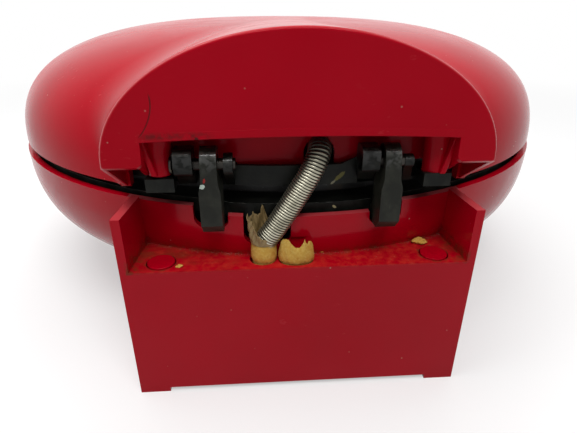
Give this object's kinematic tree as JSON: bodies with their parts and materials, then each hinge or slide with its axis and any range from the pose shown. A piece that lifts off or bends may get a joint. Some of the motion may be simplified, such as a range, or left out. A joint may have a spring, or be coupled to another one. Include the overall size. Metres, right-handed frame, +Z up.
{
  "type": "quesadilla maker",
  "caption": "Round countertop cooker with a hinged domed lid, paired non-stick wedge plates, a rear stand with an open hinge and a spring-sheathed lead to the lid.",
  "frame": {"origin": "on the table, under the centre of the outline in plan", "axes": "+Z up, +Y from the hinge and stand at the rear towards the handles at the front, +X to the right seen from the rear"},
  "size_m": [0.28, 0.3234, 0.1342],
  "materials": {
    "red_plastic": "glossy, lightly scuffed",
    "black_frame": "satin",
    "black_arm": "satin enamel",
    "black_plastic": "fine grain",
    "nonstick": "non-stick coating",
    "black_rubber": "matt",
    "tan_rubber": "aged, dry",
    "lead_insulation": "woven sleeve",
    "bundle_jacket": "matt",
    "red_lens": "clear",
    "green_lens": "clear",
    "lamp_glass": "clear",
    "reflector_metal": "aluminised",
    "element_sheath": "heat darkened",
    "spring_steel": "worn, bright",
    "control_metal": "plain",
    "steel": "zinc plated"
  },
  "bodies": {
    "base": {"base_shell": "red_plastic", "stand_cover": "black_plastic", "stand_cover_screws": "steel", "shelf_plugs": "red_plastic", "front_foot_left": "black_rubber", "front_foot_right": "black_rubber", "base_frame": "black_frame", "base_frame_screws": "steel", "hinge_arm_left": "black_arm", "hinge_arm_right": "black_arm", "hinge_arm_screws": "steel", "lower_plate": "nonstick", "lower_plate_screws": "steel", "lower_element": "element_sheath", "lower_reflector": "reflector_metal", "lower_reflector_screw": "steel", "thermostat": "control_metal", "thermal_fuse": "control_metal", "lower_leads": "lead_insulation", "base_handle": "black_plastic", "base_handle_screws": "steel", "clip_pin": "steel", "conduit_sleeve": "tan_rubber", "cord_gland": "tan_rubber", "conduit_leads": "bundle_jacket", "conduit_spring": "spring_steel"},
    "lid": {"lid_shell": "red_plastic", "lid_frame": "black_frame", "lid_frame_screws": "steel", "hinge_pin_left": "steel", "hinge_pin_right": "steel", "upper_plate": "nonstick", "upper_plate_screws": "steel", "upper_element": "element_sheath", "upper_reflector": "reflector_metal", "upper_reflector_screw": "steel", "upper_leads": "lead_insulation", "power_lens": "red_lens", "ready_lens": "green_lens", "indicator_lamps": "lamp_glass", "lid_handle": "black_plastic", "lid_handle_screws": "steel"},
    "clip": {"latch_clip": "black_plastic"}
  },
  "joints": [
    {"name": "lid_hinge", "type": "hinge", "parent": "base", "child": "lid", "pos_m": [0, -0.15365, 0.0918], "axis": [1, 0, 0], "range_deg": [0, 100], "deforming": ["conduit_spring", "conduit_leads"]},
    {"name": "clip_swing", "type": "hinge", "parent": "base", "child": "clip", "pos_m": [0, 0.15665, 0.069], "axis": [1, 0, 0], "range_deg": [0, 180]}
  ]
}
